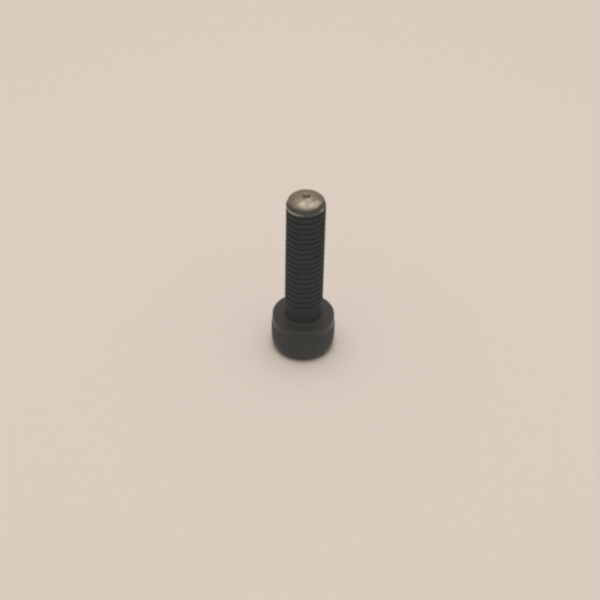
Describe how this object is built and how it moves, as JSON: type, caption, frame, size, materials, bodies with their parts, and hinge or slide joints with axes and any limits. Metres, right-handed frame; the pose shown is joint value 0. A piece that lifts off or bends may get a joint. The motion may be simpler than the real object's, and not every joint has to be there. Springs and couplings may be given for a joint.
{
  "type": "cap screw",
  "caption": "Black socket head cap screw with a knurled cylindrical head, a hexagon socket, a threaded shank and a domed tip.",
  "frame": {"origin": "centre of the flat rim at the socket end of the head, which is the face it stands on", "axes": "+Z along the screw's axis, from the head to the tip; two corners of the socket's hexagon lie along X"},
  "size_m": [0.013, 0.013, 0.0379],
  "materials": {
    "black_oxide_steel": "black oxide with a thin film of oil, satin; worn to bare grey steel on the domed tip and on part of the first thread"
  },
  "bodies": {
    "root": {"cap_screw": "black_oxide_steel"}
  },
  "joints": []
}
